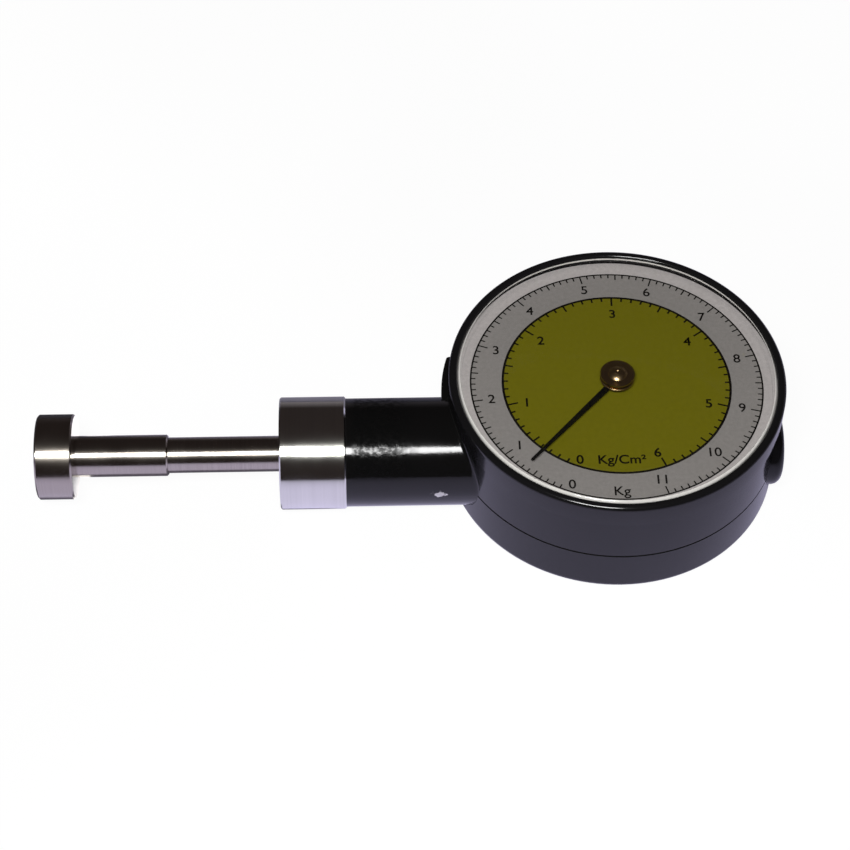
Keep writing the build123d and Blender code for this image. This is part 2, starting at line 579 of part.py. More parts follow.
def make_plates():
    """Front and rear movement plates, their pillars, screws and arbor bushes."""
    with BuildPart() as front_plate:
        with BuildSketch(Plane.XY.offset(FRONT_PLATE_LOW)):
            Circle(FRONT_PLATE_R)
            for place in BOSS_PLACES:
                with BuildLine():
                    Line((0, 0), place)
                trace(line_width=2 * EAR_R)
            with Locations(*BOSS_PLACES):
                Circle(EAR_R)
            with Locations(*ARBOR_PLACES):
                Circle(BUSH_R + SEAT, mode=Mode.SUBTRACT)
            with Locations(*PILLAR_PLACES, *BOSS_PLACES):
                Circle(PLATE_SCREW_R + EASE, mode=Mode.SUBTRACT)
        extrude(amount=FRONT_PLATE_T)
    finish(front_plate, "front_plate")

    with BuildPart() as rear_plate:
        with BuildSketch(Plane.XY.offset(PLATE_LOW)):
            Circle(REAR_PLATE_R)
            with Locations(*ARBOR_PLACES):
                Circle(BUSH_R + SEAT, mode=Mode.SUBTRACT)
            with Locations(*PILLAR_PLACES):
                Circle(PLATE_SCREW_R + EASE, mode=Mode.SUBTRACT)
            with Locations(*GUIDE_PLACES):
                Circle(GUIDE_SCREW_R + EASE, mode=Mode.SUBTRACT)
        extrude(amount=REAR_PLATE_T)
    finish(rear_plate, "rear_plate")

    tapped = PLATE_SCREW_LENGTH - REAR_PLATE_T + PILOT_EXTRA
    with BuildPart() as plate_pillars:
        with BuildSketch(Plane.XY.offset(REAR_PLATE_TOP)):
            with Locations(*PILLAR_PLACES):
                Circle(PILLAR_R)
        extrude(amount=FRONT_PLATE_LOW - REAR_PLATE_TOP)
        for end, depth in ((REAR_PLATE_TOP, tapped), (FRONT_PLATE_LOW, -tapped)):
            with BuildSketch(Plane.XY.offset(end)):
                with Locations(*PILLAR_PLACES):
                    Circle(PLATE_SCREW_R + SEAT)
            extrude(amount=depth, mode=Mode.SUBTRACT)
    finish(plate_pillars, "plate_pillars")

    head = (PLATE_SCREW_R, PLATE_HEAD_R, PLATE_HEAD_H)
    front_screws = screw_set(PILLAR_PLACES, FRONT_PLATE_TOP, -PLATE_SCREW_LENGTH, *head)
    rear_screws = screw_set(PILLAR_PLACES, PLATE_LOW, PLATE_SCREW_LENGTH, *head)
    with BuildPart() as plate_screws:
        add(front_screws.part)
        add(rear_screws.part)
    finish(plate_screws, "plate_screws")
    mounting_screws = screw_set(BOSS_PLACES, FRONT_PLATE_TOP, -PLATE_SCREW_LENGTH, *head)
    finish(mounting_screws, "mounting_screws")

    with BuildPart() as arbor_bushes:
        for low, rise, flange in ((PLATE_LOW, REAR_PLATE_T, BUSH_FLANGE_T),
                                  (FRONT_PLATE_TOP, -FRONT_PLATE_T, -BUSH_FLANGE_T)):
            with BuildSketch(Plane.XY.offset(low)):
                with Locations(*ARBOR_PLACES):
                    Circle(BUSH_R)
            extrude(amount=rise)
            with BuildSketch(Plane.XY.offset(low + rise)):
                with Locations(*ARBOR_PLACES):
                    Circle(BUSH_FLANGE_R)
            extrude(amount=flange)
        for place, pivot_r in zip(ARBOR_PLACES, (CENTRE_PIVOT_R, IDLER_PIVOT_R)):
            with BuildSketch(Plane.XY.offset(PLATE_LOW)):
                with Locations(place):
                    Circle(pivot_r + RUN)
            extrude(amount=FRONT_PLATE_TOP - PLATE_LOW, mode=Mode.SUBTRACT)
    finish(arbor_bushes, "arbor_bushes")


def tooth_sides():
    """Heights and half thicknesses along one tooth, from root to root."""
    half = TOOTH_SHARE * PITCH / 2
    root = half + DEDENDUM * FLANK
    tip = half - ADDENDUM * FLANK
    return (-DEDENDUM, -root), (ADDENDUM, -tip), (ADDENDUM, tip), (-DEDENDUM, root)


def make_wheel(name, teeth, first, centre, level):
    """A toothed wheel on an arbor; first is the angle of one tooth's middle."""
    outline = []
    for i in range(teeth):
        middle = radians(first) + 2 * pi * i / teeth
        for height, half in tooth_sides():
            reach = MODULE * teeth / 2 + height
            angle = middle + half / reach
            outline.append((centre[0] + reach * cos(angle), centre[1] + reach * sin(angle)))
    with BuildPart() as wheel:
        with BuildSketch(Plane.XY.offset(level[0])):
            with BuildLine():
                Polyline(*outline, close=True)
            make_face()
            with Locations(centre):
                Circle(ARBOR_R + SEAT, mode=Mode.SUBTRACT)
        extrude(amount=level[1] - level[0])
    finish(wheel, name)


def make_arbor(name, centre, pivot_r, top):
    """A stepped arbor with a pivot at each end."""
    with BuildPart() as arbor:
        for low, high, radius in ((PIVOT_LOW, top, pivot_r), (ARBOR_LOW, ARBOR_HIGH, ARBOR_R)):
            with BuildSketch(Plane.XY.offset(low)):
                with Locations(centre):
                    Circle(radius)
            extrude(amount=high - low)
    finish(arbor, name)


def make_train():
    """Rack, idler and centre pinion, all in mesh at rest."""
    outline = [(NOSE_END, RACK_BACK_Y), (RACK_END, RACK_BACK_Y), (RACK_END, RACK_ROOT_Y)]
    for step in range(RACK_TEETH_AHEAD, -RACK_TEETH_BEHIND - 1, -1):
        for height, half in tooth_sides():
            outline.append((IDLER_X + step * PITCH - half, RACK_PITCH_Y + height))
    outline.append((NOSE_END, RACK_ROOT_Y))
    with BuildPart() as rack_slide:
        with BuildSketch(Plane.XY.offset(RACK_LOW)):
            with BuildLine():
                Polyline(*outline, close=True)
            make_face()
        extrude(amount=RACK_HIGH - RACK_LOW)
        slab((RACK_FRONT, AXIS_Y - NOSE_DEPTH, AXIS_Z - NOSE_HALF),
             (NOSE_END, RACK_ROOT_Y, AXIS_Z + NOSE_HALF))
    finish(rack_slide, "rack_slide")

    make_arbor("idler_arbor", (IDLER_X, 0), IDLER_PIVOT_R, IDLER_PIVOT_HIGH)
    make_arbor("centre_arbor", (0, 0), CENTRE_PIVOT_R, CENTRE_ARBOR_TOP)
    below_rack = 180 / IDLER_PINION_TEETH - 90
    facing_gear = 180 / CENTRE_PINION_TEETH + 180
    make_wheel("idler_pinion", IDLER_PINION_TEETH, below_rack, (IDLER_X, 0), IDLER_PINION_Z)
    make_wheel("idler_gear", IDLER_GEAR_TEETH, 0, (IDLER_X, 0), IDLER_GEAR_Z)
    make_wheel("centre_pinion", CENTRE_PINION_TEETH, facing_gear, (0, 0), CENTRE_PINION_Z)


def make_rack_guides():
    """Two brackets that the rack slides in, and the screws under the rear plate."""
    lip_low = RACK_LOW - RUN - BRACKET_LIP
    lip_high = RACK_HIGH + RUN + BRACKET_LIP
    tapped = GUIDE_SCREW_LENGTH - REAR_PLATE_T + PILOT_EXTRA
    with BuildPart() as rack_brackets:
        for start in BRACKET_STARTS:
            end = start + BRACKET_WIDTH
            slab((start, BRACKET_BACK - BRACKET_WALL, REAR_PLATE_TOP), (end, BRACKET_BACK, lip_high))
            slab((start, BRACKET_BACK, lip_low), (end, RACK_PITCH_Y + BRACKET_REACH, lip_low + BRACKET_LIP))
            slab((start, BRACKET_BACK, lip_high - BRACKET_LIP),
                 (end, RACK_PITCH_Y - BRACKET_REACH, lip_high))
        with BuildSketch(Plane.XY.offset(REAR_PLATE_TOP)):
            with Locations(*GUIDE_PLACES[:2]):
                Circle(GUIDE_SCREW_R + SEAT)
        extrude(amount=tapped, mode=Mode.SUBTRACT)
    finish(rack_brackets, "rack_brackets")

    with BuildPart() as stem_guide:
        slab((GUIDE_X, AXIS_Y - GUIDE_HALF, REAR_PLATE_TOP),
             (GUIDE_X + GUIDE_T, AXIS_Y + GUIDE_HALF, AXIS_Z + GUIDE_HALF))
        with BuildSketch(across(GUIDE_X)):
            Circle(STEM_R + RUN)
        extrude(amount=GUIDE_T, mode=Mode.SUBTRACT)
        with BuildSketch(Plane.XY.offset(REAR_PLATE_TOP)):
            with Locations(GUIDE_PLACES[-1]):
                Circle(GUIDE_SCREW_R + SEAT)
        extrude(amount=tapped, mode=Mode.SUBTRACT)
    finish(stem_guide, "stem_guide")
    guide_screws = screw_set(GUIDE_PLACES, PLATE_LOW, GUIDE_SCREW_LENGTH, GUIDE_SCREW_R, GUIDE_HEAD_R,
                             PLATE_HEAD_H)
    finish(guide_screws, "guide_screws")


def make_pointer():
    """Tapered pointer and the brass hub that carries it on the centre arbor."""
    aim = radians(POINTER_ANGLE)
    with BuildPart() as pointer:
        with BuildSketch(Plane(origin=(0, 0, POINTER_LOW), x_dir=(cos(aim), sin(aim), 0), z_dir=(0, 0, 1))):
            Circle(POINTER_EYE_R)
            with BuildLine():
                Polyline((0, -POINTER_ROOT_WIDTH / 2), (POINTER_REACH, -POINTER_TIP_WIDTH / 2),
                         (POINTER_REACH, POINTER_TIP_WIDTH / 2), (0, POINTER_ROOT_WIDTH / 2), close=True)
            make_face()
            Circle(HUB_SLEEVE_R + SEAT, mode=Mode.SUBTRACT)
        extrude(amount=POINTER_T)
    finish(pointer, "pointer")

    with BuildPart() as pointer_hub:
        with BuildSketch(Plane.XZ):
            with BuildLine():
                Polyline((HUB_MARK_R, HUB_TOP), (0, HUB_TOP - HUB_MARK_DEPTH), (0, HUB_LOW),
                         (HUB_SLEEVE_R, HUB_LOW), (HUB_SLEEVE_R, POINTER_TOP), (HUB_R, POINTER_TOP),
                         (HUB_R, HUB_FOOT_SIDE_Z))
                TangentArc((HUB_R, HUB_FOOT_SIDE_Z), (HUB_FOOT_R, HUB_FOOT_Z), tangent=(0, 1))
                Polyline((HUB_FOOT_R, HUB_FOOT_Z), (HUB_WAIST_R, HUB_FOOT_Z), (HUB_WAIST_R, HUB_CAP_Z),
                         (HUB_R, HUB_CAP_Z), (HUB_R, HUB_SHOULDER_Z), (HUB_BOSS_R, HUB_SHOULDER_Z))
                TangentArc((HUB_MARK_R, HUB_TOP), (HUB_BOSS_R, HUB_SHOULDER_Z), tangent=(1, 0))
            make_face()
        revolve(axis=Axis.Z)
        with BuildSketch(Plane.XY.offset(HUB_LOW)):
            Circle(CENTRE_PIVOT_R + SEAT)
        extrude(amount=CENTRE_ARBOR_TOP + RUN - HUB_LOW, mode=Mode.SUBTRACT)
    finish(pointer_hub, "pointer_hub")


def make_hold_and_return():
    """Hairspring that returns the pointer, and the drum that the brake holds."""
    bore = ARBOR_R + SEAT
    turned("hairspring_collet", [(bore, COLLET_LOW), (COLLET_R, COLLET_LOW), (COLLET_R, COLLET_HIGH),
                                 (bore, COLLET_HIGH)])
    turned("brake_drum", [(bore, DRUM_LOW), (BRAKE_DRUM_R, DRUM_LOW), (BRAKE_DRUM_R, DRUM_HIGH),
                          (bore, DRUM_HIGH)])

    with BuildPart() as hairspring:
        with BuildSketch(Plane.XY.offset(STRIP_LOW)):
            with BuildLine():
                for i in range(STRIP_HALF_TURNS):
                    middle = (0, -STRIP_STEP * (i % 2))
                    for side in (-STRIP_T / 2, STRIP_T / 2):
                        CenterArc(middle, STRIP_INNER_R + STRIP_STEP * i + side, 180 * i - 90, 180)
                Line((0, STRIP_T / 2 - STRIP_INNER_R), (0, -STRIP_T / 2 - STRIP_INNER_R))
                Line((0, STRIP_OUTER_R - STRIP_T / 2), (0, STRIP_OUTER_R + STRIP_T / 2))
            make_face()
        extrude(amount=STRIP_WIDTH)
    finish(hairspring, "hairspring")

    with BuildPart() as hairspring_stud:
        slab((-STUD_LENGTH, STRIP_OUTER_R - STUD_WIDTH / 2, REAR_PLATE_TOP),
             (0, STRIP_OUTER_R + STUD_WIDTH / 2, REAR_PLATE_TOP + STUD_H))
    finish(hairspring_stud, "hairspring_stud")


def make_brake():
    """Slide that carries the brake pad and is pushed off the drum by the button's stem."""
    with BuildPart() as brake_slide:
        slab((TAB_X, AXIS_Y - TAB_HALF, DRUM_LOW), (STEM_END, AXIS_Y + TAB_HALF, AXIS_Z + TAB_HALF))
        slab((ARM_X, BAR_FRONT_Y, DRUM_LOW), (STEM_END, BAR_BACK_Y, DRUM_HIGH))
        slab((ARM_X, BAR_FRONT_Y, DRUM_LOW), (PAD_X, ARM_END_Y, DRUM_HIGH))
        with BuildSketch(across(TAB_X)):
            Circle(STEM_SPIGOT_R + SEAT)
        extrude(amount=TAB_T, mode=Mode.SUBTRACT)
    finish(brake_slide, "brake_slide")

    with BuildPart() as brake_pad:
        slab((PAD_X, PAD_Y, DRUM_LOW), (0, ARM_END_Y, DRUM_HIGH))
        with BuildSketch(Plane.XY.offset(DRUM_LOW)):
            Circle(BRAKE_DRUM_R + RUN)
        extrude(amount=DRUM_HIGH - DRUM_LOW, mode=Mode.SUBTRACT)
    finish(brake_pad, "brake_pad")


def make_plunger():
    """Tip, rod, spring flange and its clip."""
    socket_x = STUD_X - TIP_SOCKET_EXTRA
    turned_on_plunger("plunger_tip", [
        (TIP_X, 0), (TIP_X, TIP_R - TIP_EDGE), (TIP_X + TIP_EDGE, TIP_R), (TIP_BACK - TIP_EDGE, TIP_R),
        (TIP_BACK, TIP_R - TIP_EDGE), (TIP_BACK, SHANK_R), (SHANK_END - SHANK_EDGE, SHANK_R),
        (SHANK_END, SHANK_R - SHANK_EDGE), (SHANK_END, STUD_R + RUN), (socket_x, STUD_R + RUN),
        (socket_x, 0)])
    groove_r = ROD_R - GROOVE_DEPTH
    groove = (FLANGE_X - SEAT, FLANGE_X + CLIP_T + SEAT)
    turned_on_plunger("plunger_rod", [
        (STUD_X, 0), (STUD_X, STUD_R), (SHANK_END, STUD_R), (SHANK_END, ROD_R), (groove[0], ROD_R),
        (groove[0], groove_r), (groove[1], groove_r), (groove[1], ROD_R), (RACK_FRONT, ROD_R),
        (RACK_FRONT, 0)])
    turned_on_plunger("spring_flange", [
        (FLANGE_X, FLANGE_R), (FLANGE_X, CLIP_R + SEAT), (FLANGE_X + CLIP_T, CLIP_R + SEAT),
        (FLANGE_X + CLIP_T, ROD_R + SEAT), (SPRING_FRONT, ROD_R + SEAT), (SPRING_FRONT, FLANGE_R)])
    with BuildPart() as flange_clip:
        with BuildSketch(across(FLANGE_X)):
            Circle(CLIP_R)
            Circle(groove_r + SEAT, mode=Mode.SUBTRACT)
            Rectangle(CLIP_GAP, CLIP_R, align=(Align.CENTER, Align.MIN), mode=Mode.SUBTRACT)
        extrude(amount=CLIP_T)
    finish(flange_clip, "flange_clip")


def make_collar():
    """Chrome collar with its guide bush, and the ring that the load spring bears on."""
    spigot_end = NECK_X + SOCKET_DEPTH - SPIGOT_END_PLAY
    bush_hole = GUIDE_BUSH_R + SEAT
    turned_on_plunger("neck_collar", [
        (COLLAR_X, bush_hole), (COLLAR_X, COLLAR_R - COLLAR_EDGE), (COLLAR_X + COLLAR_EDGE, COLLAR_R),
        (NECK_X - COLLAR_EDGE, COLLAR_R), (NECK_X, COLLAR_R - COLLAR_EDGE), (NECK_X, SPIGOT_COLLAR_R),
        (spigot_end, SPIGOT_COLLAR_R), (spigot_end, CHAMBER_R), (STOP_X, CHAMBER_R), (STOP_X, bush_hole)])
    turned_on_plunger("guide_bush", [
        (COLLAR_X, ROD_R + RUN), (COLLAR_X, GUIDE_BUSH_R), (STOP_X, GUIDE_BUSH_R), (STOP_X, ROD_R + RUN)])
    turned_on_plunger("spring_seat", [
        (SPRING_REAR, ROD_R + SEAT_RING_GAP), (SPRING_REAR, SPRING_BORE_R - RUN),
        (SHOULDER_X, SPRING_BORE_R - RUN), (SHOULDER_X, ROD_R + SEAT_RING_GAP)])


def coil_station(start, lead, radius, half):
    """Point and direction of a coil's wire after a number of half turns."""
    angle = half * pi
    point = Vector(start + lead * half, AXIS_Y + radius * cos(angle), AXIS_Z + radius * sin(angle))
    run = Vector(lead / pi, -radius * sin(angle), radius * cos(angle))
    return point, run.normalized()


def biarc_joint(p0, t0, p1, t1):
    """Where two arcs from p0 to p1 meet, and their direction there."""
    chord = p1 - p0
    both = t0 + t1
    square = both.dot(both) - 4
    slope = chord.dot(both)
    reach = (slope - sqrt(slope ** 2 - square * chord.dot(chord))) / square
    first = p0 + t0 * reach
    last = p1 - t1 * reach
    return (first + last) / 2, (last - first).normalized()


def least_gap(path, turns, wire):
    """Least gap between a coil's wire and itself, on points along the coil."""
    count = POINTS_PER_TURN * turns
    points = [path @ (i / count) for i in range(count + 1)]
    apart = POINTS_PER_TURN // 2
    return min((p - q).length for i, p in enumerate(points) for q in points[i + apart:]) - wire


def make_coil(name, start, end, radius, wire, turns):
    """A compression spring about the plunger axis, between two faces."""
    first = start + wire / 2
    lead = (end - start - wire) / (2 * turns)
    stations = [coil_station(first, lead, radius, i) for i in range(2 * turns + 1)]
    with BuildPart() as coil:
        with BuildLine() as run:
            for (p0, t0), (p1, t1) in zip(stations, stations[1:]):
                joint, along = biarc_joint(p0, t0, p1, t1)
                TangentArc(p0, joint, tangent=t0)
                TangentArc(joint, p1, tangent=along)
        with BuildSketch(Plane(origin=run.line @ 0, z_dir=run.line % 0)):
            Circle(wire / 2)
        sweep(path=run.line)
    print(f"{name}: least gap between turns {least_gap(run.line, turns, wire):.2f} mm")
    finish(coil, name)


def make_reset_button():
    """Button, its stem and its return spring."""
    hollow_r = BUTTON_R - BUTTON_SKIN
    with BuildPart() as reset_button:
        with BuildSketch(PLUNGER_PLANE) as cup:
            with BuildLine():
                Polyline((BUTTON_REAR, STEM_R + SEAT), (STEM_TOP, STEM_R + SEAT), (STEM_TOP, 0),
                         (BUTTON_FACE, 0), (BUTTON_FACE, BUTTON_R), (BUTTON_FLANGE_X, BUTTON_R),
                         (BUTTON_FLANGE_X, BUTTON_FLANGE_R), (BUTTON_REAR, BUTTON_FLANGE_R),
                         (BUTTON_REAR, hollow_r), (STEM_TOP, hollow_r), (STEM_TOP, BUTTON_BOSS_R),
                         (BUTTON_REAR, BUTTON_BOSS_R), close=True)
            make_face()
            fillet(cup.vertices().group_by(Axis.X)[-1].sort_by(Axis.Y)[-1], BUTTON_ROUND)
        revolve(axis=PLUNGER_AXIS)
    finish(reset_button, "reset_button")
    turned_on_plunger("button_stem", [
        (TAB_X, 0), (TAB_X, STEM_SPIGOT_R), (STEM_END, STEM_SPIGOT_R), (STEM_END, STEM_R),
        (STEM_TOP, STEM_R), (STEM_TOP, 0)])


os.makedirs("parts", exist_ok=True)
make_case_body()
make_rear_cover()
make_dial_side()
make_plates()
make_train()
make_rack_guides()
make_pointer()
make_hold_and_return()
make_brake()
make_plunger()
make_collar()
make_reset_button()
make_coil("main_spring", SPRING_FRONT, SPRING_REAR, LOAD_COIL_R, LOAD_WIRE, LOAD_TURNS)
make_coil("button_spring", GUIDE_X + GUIDE_T, BUTTON_REAR, RETURN_COIL_R, RETURN_WIRE, RETURN_TURNS)
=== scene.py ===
"""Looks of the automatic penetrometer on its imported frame.

Metres, in the frame's axes: +Z out of the dial, +X from the plunger to the reset button. Sizes that are
easier to read in millimetres are multiplied by MM.
"""
import json
from math import cos, radians, sin

import bmesh
import bpy
from mathutils import Matrix, Quaternion, Vector


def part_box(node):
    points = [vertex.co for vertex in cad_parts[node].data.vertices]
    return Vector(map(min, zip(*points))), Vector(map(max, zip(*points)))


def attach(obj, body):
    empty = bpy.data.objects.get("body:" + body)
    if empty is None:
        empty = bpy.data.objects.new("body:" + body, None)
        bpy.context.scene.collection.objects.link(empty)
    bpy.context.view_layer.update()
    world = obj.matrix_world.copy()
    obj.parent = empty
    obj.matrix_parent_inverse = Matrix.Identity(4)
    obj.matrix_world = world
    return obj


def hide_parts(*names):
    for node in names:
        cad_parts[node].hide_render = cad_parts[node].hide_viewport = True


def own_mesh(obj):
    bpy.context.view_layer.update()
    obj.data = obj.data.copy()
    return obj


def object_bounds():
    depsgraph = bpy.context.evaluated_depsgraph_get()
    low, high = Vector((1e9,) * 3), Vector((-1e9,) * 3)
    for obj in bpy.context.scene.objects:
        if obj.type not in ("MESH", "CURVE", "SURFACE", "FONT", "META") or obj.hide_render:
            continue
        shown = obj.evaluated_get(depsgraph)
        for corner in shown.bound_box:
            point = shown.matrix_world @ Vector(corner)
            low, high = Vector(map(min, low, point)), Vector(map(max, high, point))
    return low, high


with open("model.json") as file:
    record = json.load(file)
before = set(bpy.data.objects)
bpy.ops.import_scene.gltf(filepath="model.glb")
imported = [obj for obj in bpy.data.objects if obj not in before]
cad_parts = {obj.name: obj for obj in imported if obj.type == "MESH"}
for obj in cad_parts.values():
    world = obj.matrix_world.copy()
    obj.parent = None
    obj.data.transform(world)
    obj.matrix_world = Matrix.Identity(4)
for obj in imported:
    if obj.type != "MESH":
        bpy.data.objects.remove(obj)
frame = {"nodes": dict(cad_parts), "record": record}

CAD_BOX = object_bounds()
NODES = frame["nodes"]
MM = 0.001

# Camera, as fitted to the photograph: lens and sensor in millimetres, angles in degrees
LENS = 103.0
SENSOR = 36.0
CAMERA_PLACE = Vector((-43.78, -272.07, 347.63)) * MM
CAMERA_YAW = 2.167
CAMERA_PITCH = 51.141
CAMERA_ROLL = 0.824

# Stage: a soft box beside the camera, a dark room, a table, and the paper that the object reflects, with
# light and shade painted on it
KEY_AZIMUTH = -8.5              # degrees from -Y towards +X
KEY_ELEVATION = 55.7
KEY_DISTANCE = 0.62
KEY_SIZE = (0.215, 0.125)
KEY_ROLL = -18.0                # lifts the end of the soft box that is towards -X
KEY_POWER = 2.75                # watts
ROOM_COLOUR = (0.027, 0.021, 0.021)
GLOW_COLOUR = (0.20, 0.18, 0.20)
GLOW_RISE = (0.0, 0.36)         # fall of the glow behind the object, by the direction's Z
GLOW_SIDE = (-0.13, -0.03)      # and its rise by the direction's X
GLOW_REAR = (0.2, 0.5)          # and by its Y
TABLE_HALF = 3.0
TABLE_PAINT, TABLE_GLOW = (0.07, 0.07, 0.07), (1.0, 1.0, 1.0)
TABLE_SHINE = (0.94, 0.965)     # strength of its own light, from low to high in its tone
PAPER_ROUGH = 0.9
PAPER_SCALE = 6                 # features of its tone in a metre
SHEET_X = (-0.45, 0.45)
SHEET_Y = (-0.160, 0.45)
SHEET_DROP = 0.02 * MM          # below the table's top
# The sheet is seen only in reflections, and light and shade are painted on it round the object
SHEET_DARK, SHEET_WHITE = (0.02, 0.02, 0.02), (0.78, 0.74, 1.0)
SHEET_GLOW = (1.0, 0.95, 1.42)
SHEET_SHINE = 0.20              # strength of its own light where it is brightest
SHEET_FRONT = (-0.150, -0.035)  # painted pool of light: rise of its brightness from the front edge to the object
SHEET_REAR = (0.008, 0.016)     # painted shadow: fall of its brightness behind the object
SHEET_SHADED = 0.45               # what is left of it in that painted shadow and at the front edge
SHEET_SIDE, SIDE_SHADED = (0.005, 0.085), 0.42        # painted shade: fall at the object's right, and what is left
CORNER_X, CORNER_SHADED = (-0.0985, -0.0965), 0.25    # painted shadow behind the tip, and what is left
BEHIND_X = (0.004, 0.030)       # painted pool of light: rise of its brightness again, behind the drum
BEHIND_Y = (0.046, 0.060)
UNDER_X = (-0.052, -0.047)      # painted shade: dim strip of it close under the plunger
UNDER_Y = (-0.0125, -0.0015)
UNDER_FADE, UNDER_SHADED = 0.0015, 0.3
CARD_PAINT, CARD_GLOW = (0.8, 0.8, 0.8), (1.0, 1.0, 1.05)
CARD_SHINE = (1.2, 1.3)
CARDS = {                       # X and Y of the bright cards that the rear of the tip reflects
    "tip_card_front": ((-0.0956, -0.0936), (-0.012, -0.002)),
    "tip_card_rear": ((-0.0956, -0.0912), (0.004, 0.016)),
}

# Dial print, in millimetres and degrees clockwise from +Y
DISC_RADIUS = 19.95
CIRCLE_RADIUS = 25.585
SHAFT_HOLE_RADIUS = 1.7
PRINT_STEP = 0.012              # height of each layer of print
LOAD_LINE, STRESS_LINE = 0.30, 0.42
LOAD_TICK, STRESS_TICK = 0.25, 0.32
TICKS_PER_UNIT = 10
LOAD_ZERO, LOAD_TURN, LOAD_TOP = 203.4, 29.14, 11
LOAD_TICKS = (0.85, 1.25, 1.75)         # tenths, halves and whole units
LOAD_NUMERAL_RADIUS = 22.3
LOAD_ZERO_PLACE, LOAD_UNIT_PLACE = (24.0, 202.5), (24.1, 181.8)
STRESS_ZERO, STRESS_TURN, STRESS_TOP = 204.0, 52.5, 6
STRESS_TICKS = (0.9, 1.5, 1.95)
STRESS_NUMERAL_RADIUS = 16.4
STRESS_NUMERAL_DROP = 0.3       # of the numerals towards -Y
STRESS_ZERO_PLACE, STRESS_UNIT_PLACE = (18.5, 204.0), (17.3, 181.0)
NUMERAL_HEIGHT = 1.95
LOAD_WEIGHT = 0.012             # added to the letters' strokes, in the font's own units
STRESS_WEIGHT = 0.018

# Bezel's profile, in millimetres, as in the source
BEZEL_PLAY = 0.1                # round the crystal's flange
BEZEL_REACH = 0.6               # of its lip over the flange
LIP_THICKNESS = 1.15
BEZEL_EDGE, LIP_EDGE = 0.85, 0.6
BEZEL_TRIM = 0.001              # keeps the turned bezel inside the solid's box
BEZEL_MERGE = 0.0012            # distance at which its points become one
ROUND_STEPS = 10                # points round an edge
TURN_STEPS = 400                # points round a turned piece
SHARP = 35.0                    # degrees, from which an edge isn't shaded smooth

# Wear and grain of the surfaces: the scale of a noise is the number of its features in a metre
NOISE_SPAN = (0.3, 0.7)         # nearly all of a noise lies in it
EDGE_WIDTH = 0.35 * MM          # of worn edges
EDGE_TURN = (0.98, 0.80)        # cosine of an edge's turn, from no wear to full wear
SMUDGE_SCALE, SMUDGE_SPAN = 90, (0.35, 0.70)
PEEL_DEPTH = 0.006 * MM
MARK_SPAN, MARK_STRENGTH = (0.35, 0.65), 0.6        # of lathe marks
SMEAR_SCALE = 140
MOTTLE_SCALE, RUB_SCALE, PORE_SCALE = 350, 900, 2500
FINE_DEPTH = 0.002 * MM         # of pores, grain and the crystal's waves
SATIN_ROUGH = (0.55, 0.75)

# Enamel of the case
ENAMEL_BLACK, BARE_METAL = (0.005, 0.005, 0.005), (0.62, 0.60, 0.62)
ENAMEL_ROUGH = (0.08, 0.17)
ENAMEL_WEAR = 0.02              # share of bare metal on its edges
PIT_SCALE, PIT_SPAN = 1300, (0.28, 0.56)
PIT_SHINE = (0.5, 0.08)         # specular level, from smooth to pitted
DENT_SCALE, DENT_DEPTH = 1100, 0.030 * MM
DENT_SHARE = (0.2, 1.0)         # of their depth, elsewhere and where it is handled

# Neck behind the collar, dulled by handling, and a chip in its enamel, in millimetres
HANDLED_X = (-46.8, -34.5)
HANDLED_FADE = (0.9, 4.5)
HANDLED_Z = (13.0, 15.0)
HANDLED_ROUGH = 0.06            # added to the enamel's own roughness
CHIP_PLACE = Vector((-31.2, -15.75, 9.9))
CHIP_RADIUS = 1.9
CHIP_STRETCH = Vector((0.62, 1, 1.3))   # makes it longer along X than it is high
CHIP_SCALE = 1500
CHIP_BIAS = (0.32, -0.35)       # added to its noise, from its middle to its rim
CHIP_LEVEL = (0.56, 0.62)       # of the sum, from whole enamel to bare metal

# Optics
ENAMEL_INDEX = 1.45
CRYSTAL_INDEX = 1.49
CRYSTAL_TINT = (0.99, 0.97, 0.92)
CRYSTAL_THIN = 0.985            # share of straight sight through the crystal
WIPE_SCALE, WIPE_SPAN, WIPE_ROUGH = 120, (0.45, 0.75), (0.0, 0.03)
WAVE_SCALE, WAVE_STRENGTH = 60, 0.3
PAINT_INDEX, INK_INDEX = 1.25, 1.12

# Crystal's ground rim, in millimetres
RIM_DROP = 0.85                 # of its foot, below the bezel's top
RIM_INSET = 1.1                 # of its inner side, from the flange's edge
RIM_FADE = 0.06

# Turning axes, for lathe marks
COLLAR_MOUNT = next(m for m in frame["record"]["mounts"] if m["name"] == "stand_collar")
PLUNGER_POINT = Vector((0, *COLLAR_MOUNT["pos_m"][1:]))
DIAL_POINT = Vector((0, 0, 0))
ALONG_X = Vector((1, 0, 0))
ALONG_Z = Vector((0, 0, 1))


